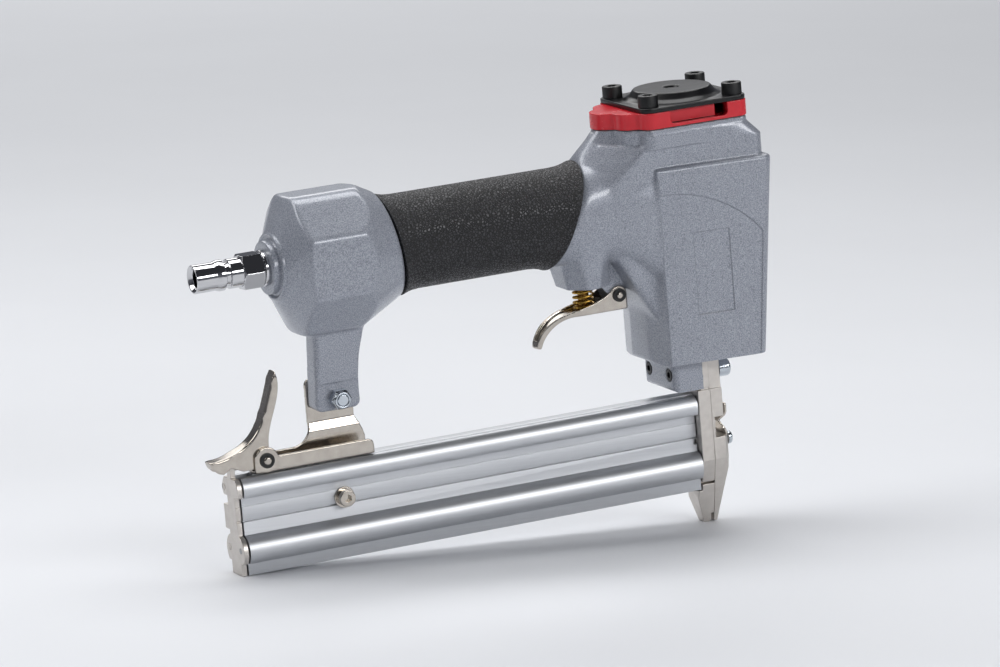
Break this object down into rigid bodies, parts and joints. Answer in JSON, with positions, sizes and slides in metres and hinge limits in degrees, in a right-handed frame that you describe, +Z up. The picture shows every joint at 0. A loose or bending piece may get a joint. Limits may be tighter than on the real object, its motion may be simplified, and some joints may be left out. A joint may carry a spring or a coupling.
{
  "type": "pneumatic nailer",
  "caption": "Hand-held pneumatic brad nailer: cast head and handle, rubber grip, trigger, driver nose, and a sliding magazine held by a lever latch.",
  "frame": {"origin": "centre of the bounding box on the floor plane", "axes": "+X from the air plug towards the head, +Y across the tool to its left, +Z up; the tool rests on its nose tip and the heel of its magazine"},
  "size_m": [0.2535, 0.0548, 0.1909],
  "materials": {
    "casting_paint": "grey hammertone paint on die-cast alloy",
    "grip_rubber": "black textured rubber",
    "red_plastic": "red moulded nylon",
    "black_plate": "black coated pressed steel",
    "black_oxide": "black oxide",
    "plug_chrome": "polished chrome",
    "nickel": "bright nickel plate",
    "zinc": "bright zinc plate",
    "steel": "machined steel",
    "aluminium": "satin anodised extrusion",
    "rod_steel": "drawn steel",
    "spring_gold": "gold passivated spring wire",
    "spring_steel": "spring wire",
    "seal_rubber": "black nitrile",
    "bumper_urethane": "urethane",
    "piston_alloy": "machined alloy",
    "gasket_fibre": "fibre sheet",
    "valve_brass": "turned brass",
    "black_plastic": "black acetal"
  },
  "bodies": {
    "frame": {"body_casting": "casting_paint", "grip_sleeve": "grip_rubber", "air_plug": "plug_chrome", "cylinder_sleeve": "aluminium", "cylinder_seal": "seal_rubber", "bumper": "bumper_urethane", "head_valve_spring": "spring_steel", "cap_gasket": "gasket_fibre", "cylinder_cap": "red_plastic", "top_plate": "black_plate", "cap_screws": "black_oxide", "trigger_pin": "steel", "trigger_clips": "black_oxide", "trigger_spring": "spring_gold", "valve_bushing": "black_plastic", "valve_seal": "seal_rubber", "nose_rear_plate": "nickel", "nose_front_plate": "nickel", "nose_clip": "nickel", "nose_cover_screws": "zinc", "clip_screws": "zinc", "nose_block_screws": "black_oxide", "magazine_rail": "aluminium", "bracket": "nickel", "bracket_bolt": "zinc", "bracket_nut": "zinc", "bracket_screws": "black_oxide", "latch_pin": "steel", "latch_clips": "black_oxide", "latch_spring": "spring_steel"},
    "trigger": {"trigger": "nickel"},
    "valve_stem": {"valve_stem": "valve_brass"},
    "latch": {"latch_lever": "nickel"},
    "magazine": {"magazine_cover": "aluminium", "tail_plate": "nickel", "tail_screws": "nickel", "side_screw": "zinc", "side_washer": "zinc", "spring_rod": "rod_steel", "pusher_spring": "spring_steel"},
    "pusher": {"pusher": "steel"},
    "piston": {"piston": "piston_alloy", "piston_ring": "seal_rubber", "driver_blade": "steel"},
    "head_valve": {"head_valve": "black_plastic"}
  },
  "joints": [
    {"name": "trigger_pull", "type": "hinge", "parent": "frame", "child": "trigger", "pos_m": [0.06378, 0, 0.10261], "axis": [0, 1, 0], "range_deg": [0, 8], "deforming": ["trigger_spring"]},
    {"name": "stem_lift", "type": "slide", "parent": "frame", "child": "valve_stem", "axis": [-0.0701, 0, 0.9975], "range_m": [0, 0.00191]},
    {"name": "latch_release", "type": "hinge", "parent": "frame", "child": "latch", "pos_m": [-0.09746, 0, 0.04768], "axis": [0, 1, 0], "range_deg": [0, 18], "deforming": ["latch_spring"]},
    {"name": "magazine_slide", "type": "slide", "parent": "frame", "child": "magazine", "axis": [-0.9975, 0, -0.0701], "range_m": [0, 0.13]},
    {"name": "pusher_slide", "type": "slide", "parent": "magazine", "child": "pusher", "axis": [-0.9975, 0, -0.0701], "range_m": [0, 0.12], "deforming": ["pusher_spring"]},
    {"name": "piston_stroke", "type": "slide", "parent": "frame", "child": "piston", "axis": [0.0701, 0, -0.9975], "range_m": [0, 0.05]},
    {"name": "head_valve_lift", "type": "slide", "parent": "frame", "child": "head_valve", "axis": [-0.0701, 0, 0.9975], "range_m": [0, 0.0035], "deforming": ["head_valve_spring"]}
  ],
  "couplings": [
    {"joint": "stem_lift", "follows": "trigger_pull", "m_per_rad": 0.0137}
  ]
}
